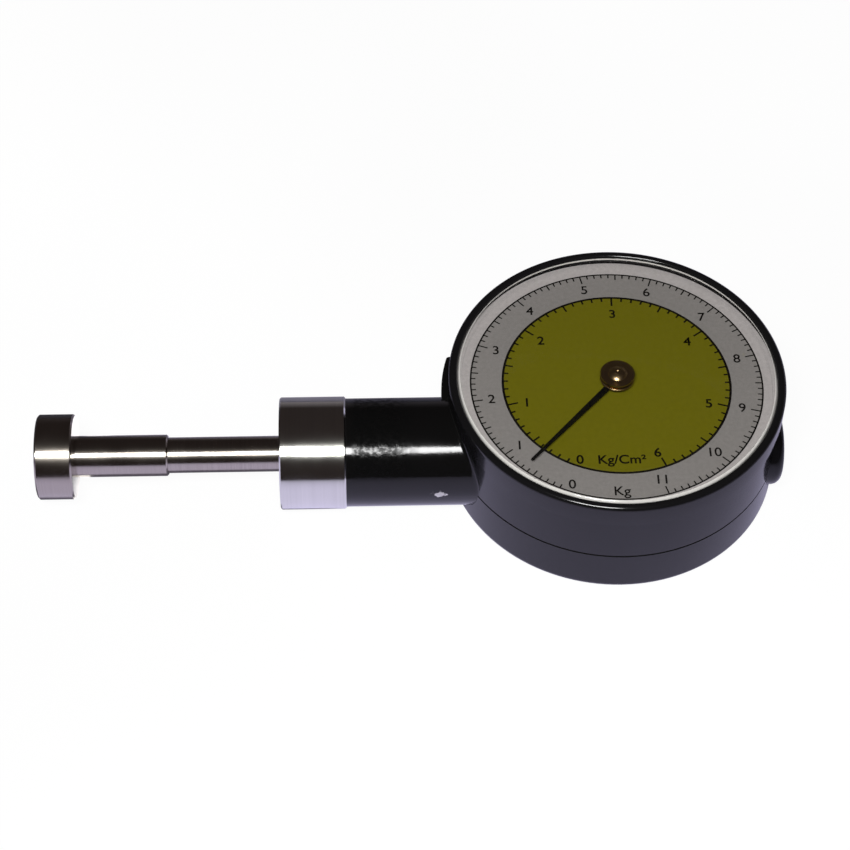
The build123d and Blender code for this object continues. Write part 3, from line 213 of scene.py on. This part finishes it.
class Look:
    """A material's node tree, with short calls for the nodes that it needs."""

    def __init__(self, name):
        self.material = bpy.data.materials.new(name)
        self.material.use_nodes = True
        self.tree = self.material.node_tree
        self.bsdf = self.tree.nodes["Principled BSDF"]
        self.place = self.add("ShaderNodeTexCoord").outputs["Object"]

    def add(self, kind, **settings):
        node = self.tree.nodes.new(kind)
        for name, value in settings.items():
            setattr(node, name, value)
        return node

    def join(self, source, target):
        self.tree.links.new(source, target)

    def set(self, **values):
        """Set the shader's own sockets; an underscore in a name stands for a space."""
        for name, value in values.items():
            self.bsdf.inputs[name.replace("_", " ")].default_value = value

    def drive(self, socket, source):
        self.join(source, self.bsdf.inputs[socket])

    def noise(self, scale, detail, where=None):
        """Noise with features of about 1 / scale metres."""
        node = self.add("ShaderNodeTexNoise")
        node.inputs["Scale"].default_value = scale
        node.inputs["Detail"].default_value = detail
        self.join(where or self.place, node.inputs["Vector"])
        return node.outputs["Fac"]

    def spread(self, value, start, end, low, high):
        """A value's stretch from start to end, laid on low to high."""
        node = self.add("ShaderNodeMapRange")
        self.join(value, node.inputs["Value"])
        for name, number in zip(("From Min", "From Max", "To Min", "To Max"), (start, end, low, high)):
            node.inputs[name].default_value = number
        return node.outputs["Result"]

    def vector(self, operation, first, second=None, output="Vector"):
        node = self.add("ShaderNodeVectorMath", operation=operation)
        self.join(first, node.inputs[0])
        if second is not None:
            node.inputs[1].default_value = second
        return node.outputs[output]

    def colours(self, share, first, second):
        """Blend of two colours by a varying share."""
        node = self.add("ShaderNodeMix", data_type="RGBA")
        self.join(share, node.inputs["Factor"])
        for socket, colour in zip(("A", "B"), (first, second)):
            found = [s for s in node.inputs if s.name == socket and s.type == "RGBA"]
            found[0].default_value = (*colour, 1)
        return [s for s in node.outputs if s.type == "RGBA"][0]

    def product(self, first, second):
        node = self.add("ShaderNodeMath", operation="MULTIPLY")
        self.join(first, node.inputs[0])
        self.join(second, node.inputs[1])
        return node.outputs["Value"]

    def sum(self, first, second):
        node = self.add("ShaderNodeMath", operation="ADD", use_clamp=True)
        self.join(first, node.inputs[0])
        self.join(second, node.inputs[1])
        return node.outputs["Value"]

    def parts(self):
        """The place's X, Y and Z."""
        node = self.add("ShaderNodeSeparateXYZ")
        self.join(self.place, node.inputs["Vector"])
        return node.outputs

    def turned(self, point, along):
        """Coordinates of a turned piece: place along its axis, and radius."""
        offset = self.vector("SUBTRACT", self.place, point)
        height = self.vector("DOT_PRODUCT", offset, along, "Value")
        across = self.vector("MULTIPLY", offset, Vector((1, 1, 1)) - along)
        radius = self.vector("LENGTH", across, None, "Value")
        both = self.add("ShaderNodeCombineXYZ")
        self.join(height, both.inputs["X"])
        self.join(radius, both.inputs["Y"])
        return both.outputs["Vector"], radius

    def edges(self, width):
        """1 on edges sharper than the width, 0 elsewhere."""
        rounded = self.add("ShaderNodeBevel", samples=4)
        rounded.inputs["Radius"].default_value = width
        normal = self.add("ShaderNodeNewGeometry").outputs["Normal"]
        turn = self.add("ShaderNodeVectorMath", operation="DOT_PRODUCT")
        self.join(rounded.outputs["Normal"], turn.inputs[0])
        self.join(normal, turn.inputs[1])
        return self.spread(turn.outputs["Value"], *EDGE_TURN, 0, 1)

    def mixed(self, first, second, share):
        """Mix of two shaders by a varying share of the second."""
        node = self.add("ShaderNodeMixShader")
        self.join(first, node.inputs[1])
        self.join(second, node.inputs[2])
        self.join(share, node.inputs["Fac"])
        return node.outputs["Shader"]

    def relief(self, height, depth, strength=1.0):
        node = self.add("ShaderNodeBump")
        node.inputs["Strength"].default_value = strength
        node.inputs["Distance"].default_value = depth
        self.join(height, node.inputs["Height"])
        self.drive("Normal", node.outputs["Normal"])


class RoomLook(Look):
    """The same for the room round the object, with a direction in place of a point."""

    def __init__(self, name):
        self.world = bpy.data.worlds.new(name)
        self.world.use_nodes = True
        self.tree = self.world.node_tree
        self.bsdf = self.tree.nodes["Background"]
        self.place = self.add("ShaderNodeTexCoord").outputs["Generated"]


def gloss_black(name, dark, worn, smooth, rough, peel):
    """Black enamel or plastic with smudges, a faint orange peel and paler edges."""
    look = Look(name)
    look.set(IOR=ENAMEL_INDEX)
    look.drive("Base Color", look.colours(look.edges(EDGE_WIDTH), dark, worn))
    look.drive("Roughness", look.spread(look.noise(SMUDGE_SCALE, detail=4), *SMUDGE_SPAN, smooth, rough))
    look.relief(look.noise(peel, detail=2), PEEL_DEPTH)
    return look.material


def case_enamel():
    """Gloss black enamel with a chip, dulled and pitted by fingers on the neck behind the collar."""
    look = Look("case_enamel")
    look.set(IOR=ENAMEL_INDEX)
    worn = look.add("ShaderNodeMath", operation="MAXIMUM")
    look.join(look.spread(look.edges(EDGE_WIDTH), 0, 1, 0, ENAMEL_WEAR), worn.inputs[0])
    look.join(chipped(look), worn.inputs[1])
    look.drive("Base Color", look.colours(worn.outputs["Value"], ENAMEL_BLACK, BARE_METAL))
    held = handled(look)
    pitted = look.product(held, look.spread(look.noise(PIT_SCALE, detail=4), *PIT_SPAN, 0, 1))
    look.drive("Specular IOR Level", look.spread(pitted, 0, 1, *PIT_SHINE))
    smudged = look.spread(look.noise(SMUDGE_SCALE, detail=4), *SMUDGE_SPAN, *ENAMEL_ROUGH)
    look.drive("Roughness", look.sum(smudged, look.spread(held, 0, 1, 0, HANDLED_ROUGH)))
    dents = look.product(look.noise(DENT_SCALE, detail=3), look.spread(held, 0, 1, *DENT_SHARE))
    look.relief(dents, DENT_DEPTH)
    return look.material


def handled(look):
    """1 on the upper side of the neck where it is dulled, 0 elsewhere."""
    start, end = (x * MM for x in HANDLED_X)
    rise, fall = (width * MM for width in HANDLED_FADE)
    x, _, z = look.parts()
    length = look.product(look.spread(x, start, start + rise, 0, 1), look.spread(x, end - fall, end, 1, 0))
    return look.product(length, look.spread(z, *(height * MM for height in HANDLED_Z), 0, 1))


def chipped(look):
    """1 in a small ragged chip of the enamel low on the neck, 0 elsewhere."""
    offset = look.vector("SUBTRACT", look.place, CHIP_PLACE * MM)
    away = look.vector("LENGTH", look.vector("MULTIPLY", offset, CHIP_STRETCH), None, "Value")
    near = look.spread(away, 0, CHIP_RADIUS * MM, *CHIP_BIAS)
    return look.spread(look.sum(near, look.noise(CHIP_SCALE, detail=3)), *CHIP_LEVEL, 0, 1)


def lathe_metal(name, pale, dark, smooth, rough, lines, depth, point, along):
    """Turned metal with lathe marks round its axis, their depth in millimetres, and handling smudges."""
    look = Look(name)
    look.set(Metallic=1.0)
    rings, _ = look.turned(point, along)
    marks = look.noise(lines, detail=4, where=rings)
    look.drive("Base Color", look.colours(look.spread(marks, *MARK_SPAN, 0, 1), pale, dark))
    look.drive("Roughness", look.spread(look.noise(SMEAR_SCALE, detail=5), *NOISE_SPAN, smooth, rough))
    look.relief(marks, depth * MM, MARK_STRENGTH)
    return look.material


def rubbed_metal(name, pale, dark, smooth, rough):
    """Plain metal inside the case, slightly mottled."""
    look = Look(name)
    look.set(Metallic=1.0)
    mottled = look.spread(look.noise(MOTTLE_SCALE, detail=4), *NOISE_SPAN, 0, 1)
    look.drive("Base Color", look.colours(mottled, pale, dark))
    look.drive("Roughness", look.spread(look.noise(RUB_SCALE, detail=3), *NOISE_SPAN, smooth, rough))
    look.relief(look.noise(PORE_SCALE, detail=2), FINE_DEPTH)
    return look.material


def printed(name, first, second, grain, index=PAINT_INDEX):
    """Satin paint or ink with a fine grain, a relief half as wide and smears three times as wide."""
    look = Look(name)
    look.set(IOR=index)
    grained = look.spread(look.noise(grain, detail=3), *NOISE_SPAN, 0, 1)
    look.drive("Base Color", look.colours(grained, first, second))
    look.drive("Roughness", look.spread(look.noise(grain / 3, detail=3), *NOISE_SPAN, *SATIN_ROUGH))
    look.relief(look.noise(grain * 2, detail=2), FINE_DEPTH)
    return look.material


def ground_rim(look):
    """1 on the crystal's ground rim, which gathers light, and 0 on its clear dome and flange."""
    top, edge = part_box("bezel_ring")[1].z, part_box("crystal")[1].x
    _, radius = look.turned(DIAL_POINT, ALONG_Z)
    low = top - RIM_DROP * MM
    risen = look.spread(look.parts()["Z"], low, low + RIM_FADE * MM, 0, 1)
    inset = edge - RIM_INSET * MM
    return look.product(risen, look.spread(radius, inset, inset + RIM_FADE * MM, 0, 1))


def clear_crystal():
    """Clear thin acrylic with faint wipe marks and a ground rim; light passes through it to the dial."""
    look = Look("clear_crystal")
    look.set(IOR=CRYSTAL_INDEX, Base_Color=(*CRYSTAL_TINT, 1))
    rim = ground_rim(look)
    look.drive("Transmission Weight", look.spread(rim, 0, 1, 1, 0))
    wiped = look.spread(look.noise(WIPE_SCALE, detail=5), *WIPE_SPAN, *WIPE_ROUGH)
    look.drive("Roughness", wiped)
    look.relief(look.noise(WAVE_SCALE, detail=2), FINE_DEPTH, WAVE_STRENGTH)
    gloss = look.add("ShaderNodeBsdfGlossy")
    look.join(wiped, gloss.inputs["Roughness"])
    sheen = look.add("ShaderNodeFresnel")
    sheen.inputs["IOR"].default_value = CRYSTAL_INDEX
    open_air = look.add("ShaderNodeBsdfTransparent").outputs["BSDF"]
    thin = look.mixed(look.bsdf.outputs["BSDF"], open_air, look.spread(rim, 0, 1, CRYSTAL_THIN, 0))
    outside = look.spread(look.add("ShaderNodeNewGeometry").outputs["Backfacing"], 0, 1, 1, 0)
    glazed = look.mixed(thin, gloss.outputs["BSDF"], look.product(sheen.outputs["Fac"], outside))
    seen = look.mixed(glazed, open_air, look.add("ShaderNodeLightPath").outputs["Is Shadow Ray"])
    look.join(seen, look.tree.nodes["Material Output"].inputs["Surface"])
    return look.material


def paper(name, colour, glow, shine):
    """Paper that gives light of its own, with a faint tone in it."""
    look = Look(name)
    look.set(Base_Color=(*colour, 1), Emission_Color=(*glow, 1))
    look.set(Roughness=PAPER_ROUGH, Specular_IOR_Level=0)
    look.drive("Emission Strength", look.spread(look.noise(PAPER_SCALE, detail=2), *NOISE_SPAN, *shine))
    return look.material


def white_sheet():
    """White paper with light and shade painted on it: a pool of light near the object, so it is darker
    towards its front edge, painted shade at the right and under the plunger, and painted shadow behind the
    object and the tip.

    Well behind the drum a second painted pool of light makes it bright again.
    """
    look = Look("white_sheet")
    look.set(Roughness=PAPER_ROUGH, Specular_IOR_Level=0, Emission_Color=(*SHEET_GLOW, 1))
    x, y, _ = look.parts()
    front = look.spread(y, *SHEET_FRONT, SHEET_SHADED, 1)
    rear = look.spread(y, *SHEET_REAR, 1, SHEET_SHADED)
    corner = look.product(look.spread(y, *SHEET_REAR, 0, 1), look.spread(x, *CORNER_X, 1, 0))
    side = look.product(look.spread(x, *SHEET_SIDE, 1, SIDE_SHADED),
                        look.spread(corner, 0, 1, 1, CORNER_SHADED))
    start, end = UNDER_Y
    across = look.product(look.spread(y, start - UNDER_FADE, start, 0, 1),
                          look.spread(y, end, end + UNDER_FADE, 1, 0))
    under = look.product(across, look.spread(x, *UNDER_X, 1, 0))
    painted_shade = look.product(side, look.spread(under, 0, 1, 1, UNDER_SHADED))
    near = look.product(look.product(front, rear), painted_shade)
    behind = look.product(look.spread(x, *BEHIND_X, 0, 1), look.spread(y, *BEHIND_Y, 0, 1))
    # Painted light and shade: low in the painted shadow and shade, high in the painted pools of light
    bright = look.sum(near, behind)
    look.drive("Base Color", look.colours(bright, SHEET_DARK, SHEET_WHITE))
    look.drive("Emission Strength", look.spread(bright, SHEET_SHADED, 1, 0, SHEET_SHINE))
    return look.material


def slot_looks():
    """Material of each slot in the record."""
    return {
        "black_case": case_enamel(),
        "bezel": gloss_black("bezel_enamel", (0.009, 0.0088, 0.0095), (0.016, 0.016, 0.017),
                             smooth=0.10, rough=0.17, peel=900),
        "button": gloss_black("button_plastic", (0.005, 0.005, 0.006), (0.014, 0.014, 0.016),
                              smooth=0.12, rough=0.22, peel=1500),
        "chrome": lathe_metal("chrome_plate", (0.75, 0.75, 0.69), (0.70, 0.70, 0.65),
                              smooth=0.10, rough=0.16, lines=2600, depth=0.0012,
                              point=PLUNGER_POINT, along=ALONG_X),
        "steel": rubbed_metal("plain_steel", (0.50, 0.48, 0.47), (0.38, 0.37, 0.36),
                              smooth=0.22, rough=0.36),
        "brass": rubbed_metal("plain_brass", (0.62, 0.42, 0.17), (0.50, 0.32, 0.12),
                              smooth=0.20, rough=0.34),
        "dial": printed("dial_grey", (0.292, 0.276, 0.261), (0.330, 0.312, 0.296), grain=1500),
        "crystal": clear_crystal(),
        "pointer": printed("pointer_black", (0.002, 0.002, 0.002), (0.005, 0.005, 0.005),
                           grain=1200, index=INK_INDEX),
        "spring_steel": rubbed_metal("spring_wire", (0.42, 0.42, 0.44), (0.30, 0.30, 0.32),
                                     smooth=0.25, rough=0.40),
        "pad": printed("brake_rubber", (0.030, 0.027, 0.024), (0.055, 0.050, 0.045), grain=900),
    }


def turned_looks():
    """Material of the nodes that show lathe marks."""
    steel = lathe_metal("turned_steel", (0.475, 0.435, 0.38), (0.41, 0.375, 0.33),
                        smooth=0.16, rough=0.23, lines=5200, depth=0.0015,
                        point=PLUNGER_POINT, along=ALONG_X)
    bronze = lathe_metal("turned_bronze", (0.46, 0.33, 0.17), (0.40, 0.28, 0.14),
                         smooth=0.24, rough=0.32, lines=4200, depth=0.0004,
                         point=DIAL_POINT, along=ALONG_Z)
    return {"plunger_tip": steel, "plunger_rod": steel, "pointer_hub": bronze}


def dress_nodes():
    """Give every CAD node the material of its slot in the record, or its own turned one."""
    by_slot, by_node = slot_looks(), turned_looks()
    for part in frame["record"]["subparts"]:
        slots = NODES[part["node"]].data.materials
        slots.clear()
        slots.append(by_node.get(part["node"], by_slot[part["material_slot"]]))


def on_dial(radius, clockwise):
    """Point on the dial, in millimetres, from a radius and an angle clockwise from +Y."""
    angle = radians(clockwise)
    return radius * sin(angle), radius * cos(angle)


def turn_profile(mesh, profile):
    """Faces turned about the dial's axis from a line of radii and heights."""
    loops = [[mesh.verts.new((*on_dial(radius, i * 360 / TURN_STEPS), height)) for i in range(TURN_STEPS)]
             for radius, height in profile]
    for first, second in zip(loops, loops[1:]):
        for i in range(TURN_STEPS):
            after = (i + 1) % TURN_STEPS
            mesh.faces.new((first[i], first[after], second[after], second[i]))


def quarter_round(radius, height, size, start):
    """Quarter of a circle in a profile, from an angle in degrees."""
    angles = [radians(start + 90 * i / ROUND_STEPS) for i in range(ROUND_STEPS + 1)]
    return [(radius + size * cos(a), height + size * sin(a)) for a in angles]


def add_tick(print_mesh, outer, length, width, clockwise, level):
    """A printed tick that hangs inwards from a circle."""
    x, y = on_dial(1, clockwise)
    side = Vector((y, -x, 0)) * width / 2
    ends = [Vector((x * r, y * r, level)) for r in (outer, outer - length)]
    corners = (ends[0] - side, ends[0] + side, ends[1] + side, ends[1] - side)
    print_mesh.faces.new([print_mesh.verts.new(c) for c in corners])


def add_scale(print_mesh, circle, widths, zero, turn, top, lengths, level):
    """A circle with ticks for tenths, halves and whole units, none at zero, where the numeral stands.

    The widths are those of the circle and of a tick.
    """
    turn_profile(print_mesh, [(circle + side * widths[0] / 2, level) for side in (-1, 1)])
    for i in range(1, top * TICKS_PER_UNIT + 1):
        kind = 2 if i % TICKS_PER_UNIT == 0 else 1 if i % (TICKS_PER_UNIT // 2) == 0 else 0
        add_tick(print_mesh, circle, lengths[kind], widths[1], zero + turn * i / TICKS_PER_UNIT, level)


def word_mesh(word, weight):
    """Flat outline letters of a word, one unit to the font's own size."""
    letters = bpy.data.curves.new(word, "FONT")
    letters.body = word
    letters.offset = weight
    holder = bpy.data.objects.new(word, letters)
    mesh = bpy.data.meshes.new_from_object(holder)
    bpy.data.objects.remove(holder)
    bpy.data.curves.remove(letters)
    return mesh


def add_word(print_mesh, word, weight, place, level):
    """A word centred at a place on the dial, upright along +Y.

    Wider strokes would fill a 4, so that a 4 is struck four times instead, each time a little aside.
    """
    four = word == "4"
    digit, mesh = word_mesh("0", weight), word_mesh(word, 0 if four else weight)
    heights = [v.co.y for v in digit.vertices]
    scale = NUMERAL_HEIGHT / (max(heights) - min(heights))
    spans = [[v.co[axis] for v in mesh.vertices] for axis in (0, 1)]
    middle = Vector((*((min(s) + max(s)) / 2 for s in spans), 0))
    steps = (-weight, weight) if four else (0,)
    for shift in [(x, y) for x in steps for y in steps]:
        struck = mesh.copy()
        struck.transform(Matrix.Translation((*place, level)) @ Matrix.Scale(scale, 4)
                         @ Matrix.Translation(Vector((*shift, 0)) - middle))
        print_mesh.from_mesh(struck)
        bpy.data.meshes.remove(struck)
    for used in (digit, mesh):
        bpy.data.meshes.remove(used)


def place_piece(name, form, material):
    """Turn a form in millimetres into a piece that rides on the case."""
    mesh = bpy.data.meshes.new(name)
    bmesh.ops.recalc_face_normals(form, faces=form.faces)
    form.to_mesh(mesh)
    form.free()
    mesh.transform(Matrix.Scale(MM, 4))
    mesh.shade_smooth()
    mesh.set_sharp_from_angle(angle=radians(SHARP))
    mesh.materials.append(material)
    piece = bpy.data.objects.new(name, mesh)
    bpy.context.scene.collection.objects.link(piece)
    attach(piece, "case")
    return piece


def turn_bezel():
    """The bezel's own profile, turned finely enough for clean highlights."""
    low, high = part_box("bezel_ring")
    outer, bottom, top = high.x / MM - BEZEL_TRIM, low.z / MM, high.z / MM
    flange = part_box("crystal")[1].x / MM
    skirt, lip = flange + BEZEL_PLAY, flange - BEZEL_REACH
    ledge = top - LIP_THICKNESS
    profile = [(skirt, bottom), (outer, bottom),
               *quarter_round(outer - BEZEL_EDGE, top - BEZEL_EDGE, BEZEL_EDGE, 0),
               *quarter_round(lip + LIP_EDGE, top - LIP_EDGE, LIP_EDGE, 90),
               (lip, ledge), (skirt, ledge), (skirt, bottom)]
    ring = bmesh.new()
    turn_profile(ring, profile)
    bmesh.ops.remove_doubles(ring, verts=ring.verts, dist=BEZEL_MERGE)
    piece = place_piece("bezel_turned", ring, NODES["bezel_ring"].data.materials[0])
    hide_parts("bezel_ring")


def add_numerals(print_mesh, top, weight, zero, turn, radius, drop, level):
    """Upright numerals from 1 to the top of a scale."""
    for units in range(1, top + 1):
        x, y = on_dial(radius, zero + turn * units)
        add_word(print_mesh, str(units), weight, (x, y - drop), level)


def print_dial():
    """Olive centre, a margin painted paler than the dial as a painted reflection of the crystal's rim, two
    scales and their numerals.
    """
    dial_edge, dial_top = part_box("dial_plate")[1].x / MM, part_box("dial_plate")[1].z / MM
    disc_level, ink_level = dial_top + PRINT_STEP, dial_top + 2 * PRINT_STEP
    pale = printed("pale_band_painted_reflection", (0.514, 0.483, 0.471), (0.596, 0.559, 0.548), grain=1500)
    olive = printed("olive_print", (0.186, 0.170, 0.0040), (0.172, 0.158, 0.0034), grain=1300)
    ink = printed("black_print", (0.003, 0.0025, 0.0018), (0.006, 0.005, 0.004),
                  grain=2000, index=INK_INDEX)

    disc = bmesh.new()
    turn_profile(disc, [(radius, disc_level) for radius in (SHAFT_HOLE_RADIUS, DISC_RADIUS)])
    place_piece("dial_olive_disc", disc, olive)

    # The dial's margin outside the load circle, painted paler as a painted reflection of the crystal's rim
    band = bmesh.new()
    turn_profile(band, [(radius, disc_level) for radius in (CIRCLE_RADIUS, dial_edge)])
    place_piece("dial_pale_band", band, pale)

    load = bmesh.new()
    add_scale(load, CIRCLE_RADIUS, (LOAD_LINE, LOAD_TICK), LOAD_ZERO, LOAD_TURN, LOAD_TOP, LOAD_TICKS,
              ink_level)
    place_piece("dial_load_scale", load, ink)

    stress = bmesh.new()
    add_scale(stress, DISC_RADIUS, (STRESS_LINE, STRESS_TICK), STRESS_ZERO, STRESS_TURN, STRESS_TOP,
              STRESS_TICKS, ink_level)
    place_piece("dial_stress_scale", stress, ink)

    numerals = bmesh.new()
    add_numerals(numerals, LOAD_TOP, LOAD_WEIGHT, LOAD_ZERO, LOAD_TURN, LOAD_NUMERAL_RADIUS, 0, ink_level)
    add_numerals(numerals, STRESS_TOP, STRESS_WEIGHT, STRESS_ZERO, STRESS_TURN, STRESS_NUMERAL_RADIUS,
                 STRESS_NUMERAL_DROP, ink_level)
    add_word(numerals, "0", LOAD_WEIGHT, on_dial(*LOAD_ZERO_PLACE), ink_level)
    add_word(numerals, "Kg", LOAD_WEIGHT, on_dial(*LOAD_UNIT_PLACE), ink_level)
    add_word(numerals, "0", STRESS_WEIGHT, on_dial(*STRESS_ZERO_PLACE), ink_level)
    add_word(numerals, "Kg/Cm²", STRESS_WEIGHT, on_dial(*STRESS_UNIT_PLACE), ink_level)
    place_piece("dial_numerals", numerals, ink)


def shorten_springs():
    """Copies of the coil springs that the record marks to scale along X, each in place of its spring."""
    for joint in frame["record"]["behaviour"]["joints"]:
        for spring in joint.get("deforming_nodes", []):
            if spring["mode"] == "scale_x":
                shorten_spring(spring["node"])


def shorten_spring(node):
    """A copy of a spring that stands for it and can be squashed along X."""
    coil = bpy.data.objects.new(node + "_coil", NODES[node].data.copy())
    bpy.context.scene.collection.objects.link(coil)
    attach(coil, "case")
    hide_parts(node)
    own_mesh(coil)


def stage_plane(name, x_ends, y_ends, level, material):
    """A level plane of the stage."""
    corners = [(x_ends[i], y_ends[j], level) for i, j in ((0, 0), (1, 0), (1, 1), (0, 1))]
    mesh = bpy.data.meshes.new(name)
    mesh.from_pydata(corners, [], [(0, 1, 2, 3)])
    mesh.materials.append(material)
    plane = bpy.data.objects.new(name, mesh)
    bpy.context.scene.collection.objects.link(plane)
    return plane


def set_table():
    """Pale table under the rest face, the sheet with light and shade painted on it, and the cards that the
    object reflects.
    """
    level = CAD_BOX[0][2]
    ends = (-TABLE_HALF, TABLE_HALF)
    pale = paper("table_top", TABLE_PAINT, TABLE_GLOW, TABLE_SHINE)
    table = stage_plane("table", ends, ends, level, pale)
    table.visible_glossy = False
    table.visible_diffuse = False
    table.visible_shadow = False
    sheet = stage_plane("sheet", SHEET_X, SHEET_Y, level - SHEET_DROP, white_sheet())
    white = paper("tip_card", CARD_PAINT, CARD_GLOW, CARD_SHINE)
    cards = [stage_plane(name, *ends, level - SHEET_DROP / 2, white) for name, ends in CARDS.items()]
    for plane in (sheet, *cards):
        plane.visible_camera = False


def add_key_light():
    """A soft box that faces the object, rolled about the line to it."""
    azimuth, elevation = radians(KEY_AZIMUTH), radians(KEY_ELEVATION)
    away = Vector((sin(azimuth) * cos(elevation), -cos(azimuth) * cos(elevation), sin(elevation)))
    aim = Vector((sum(CAD_BOX[i][0] for i in (0, 1)) / 2, 0, 0))
    lamp = bpy.data.lights.new("key_light", "AREA")
    lamp.shape = "RECTANGLE"
    lamp.size, lamp.size_y = KEY_SIZE
    lamp.energy = KEY_POWER
    box = bpy.data.objects.new("key_light", lamp)
    box.location = aim + away * KEY_DISTANCE
    rolled = Quaternion(away, radians(KEY_ROLL)) @ away.to_track_quat("Z", "Y")
    box.rotation_euler = rolled.to_euler()
    bpy.context.scene.collection.objects.link(box)


def set_light():
    """Soft light from the camera's side, and a dark room with a faint glow low behind the object."""
    add_key_light()
    room = RoomLook("room")
    x, y, z = room.parts()
    aside = room.product(room.spread(x, *GLOW_SIDE, 0, 1), room.spread(y, *GLOW_REAR, 0, 1))
    glow = room.product(aside, room.spread(z, *GLOW_RISE, 1, 0))
    room.drive("Color", room.colours(glow, ROOM_COLOUR, GLOW_COLOUR))
    bpy.context.scene.world = room.world
    bpy.context.scene.view_settings.view_transform = "Standard"


def set_camera():
    """Camera at the photograph's place and angle."""
    yaw, pitch, roll = (radians(a) for a in (CAMERA_YAW, CAMERA_PITCH, CAMERA_ROLL))
    ahead = Vector((sin(yaw) * cos(pitch), cos(yaw) * cos(pitch), -sin(pitch)))
    level = Vector((cos(yaw), -sin(yaw), 0))
    above = level.cross(ahead)
    right = cos(roll) * level + sin(roll) * above
    up = cos(roll) * above - sin(roll) * level
    lens = bpy.data.cameras.new("camera")
    lens.lens = LENS
    lens.sensor_width = SENSOR
    camera = bpy.data.objects.new("camera", lens)
    turn = Matrix((right, up, -ahead)).transposed().to_4x4()
    camera.matrix_world = Matrix.Translation(CAMERA_PLACE) @ turn
    bpy.context.scene.collection.objects.link(camera)
    bpy.context.scene.camera = camera


dress_nodes()
shorten_springs()
turn_bezel()
print_dial()
set_table()
set_light()
set_camera()
